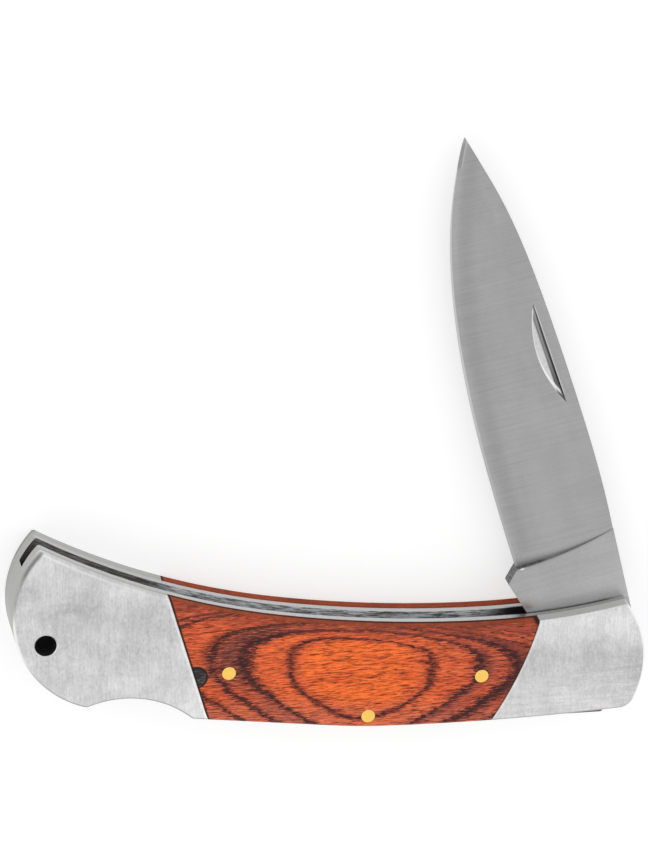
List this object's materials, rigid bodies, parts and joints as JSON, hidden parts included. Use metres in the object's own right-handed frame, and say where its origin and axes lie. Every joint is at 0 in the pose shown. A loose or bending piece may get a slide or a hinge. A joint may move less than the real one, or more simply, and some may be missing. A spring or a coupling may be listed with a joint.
{
  "type": "folding pocket knife",
  "caption": "Folding lock-back pocket knife with a flat-ground pointed blade, curved handle, steel bolsters, figured wood scales, brass pins and a lanyard hole.",
  "frame": {"origin": "on the axis of the blade pivot, on the flat outer face of the right side, which the knife lies on", "axes": "+X forward, the way the fully open blade points; +Y from the back of the handle to the slot that takes the blade; +Z from the right side to the left side, along the pivot"},
  "size_m": [0.1117, 0.1082, 0.0112],
  "materials": {
    "blade_steel": "satin, brushed across the blade",
    "bolster_steel": "satin, finely brushed",
    "liner_steel": "plain ground",
    "bar_steel": "plain ground",
    "scale_wood": "smooth, oiled, with dark rings",
    "pin_brass": "polished flush"
  },
  "bodies": {
    "handle": {"left_liner": "liner_steel", "right_liner": "liner_steel", "left_front_bolster": "bolster_steel", "right_front_bolster": "bolster_steel", "left_rear_bolster": "bolster_steel", "right_rear_bolster": "bolster_steel", "left_scale": "scale_wood", "right_scale": "scale_wood", "butt_spacer": "bar_steel", "lock_spring": "bar_steel", "pivot_pin": "bar_steel", "rocker_pin": "pin_brass", "upper_butt_pin": "bar_steel", "lower_butt_pin": "bar_steel", "left_front_scale_pin": "pin_brass", "left_rear_scale_pin": "pin_brass", "right_front_scale_pin": "pin_brass", "right_rear_scale_pin": "pin_brass"},
    "blade": {"blade": "blade_steel"},
    "lock_bar": {"lock_bar": "bar_steel"}
  },
  "joints": [
    {"name": "blade_pivot", "type": "hinge", "parent": "handle", "child": "blade", "pos_m": [0, 0, 0.0056], "axis": [0, 0, -1], "range_deg": [-61, 103]},
    {"name": "lock_rocker", "type": "hinge", "parent": "handle", "child": "lock_bar", "pos_m": [-0.04079, -0.0067, 0.0056], "axis": [0, 0, -1], "range_deg": [0, 1], "stiffness_Nm_per_rad": 1.5, "springref_deg": -14.32}
  ]
}
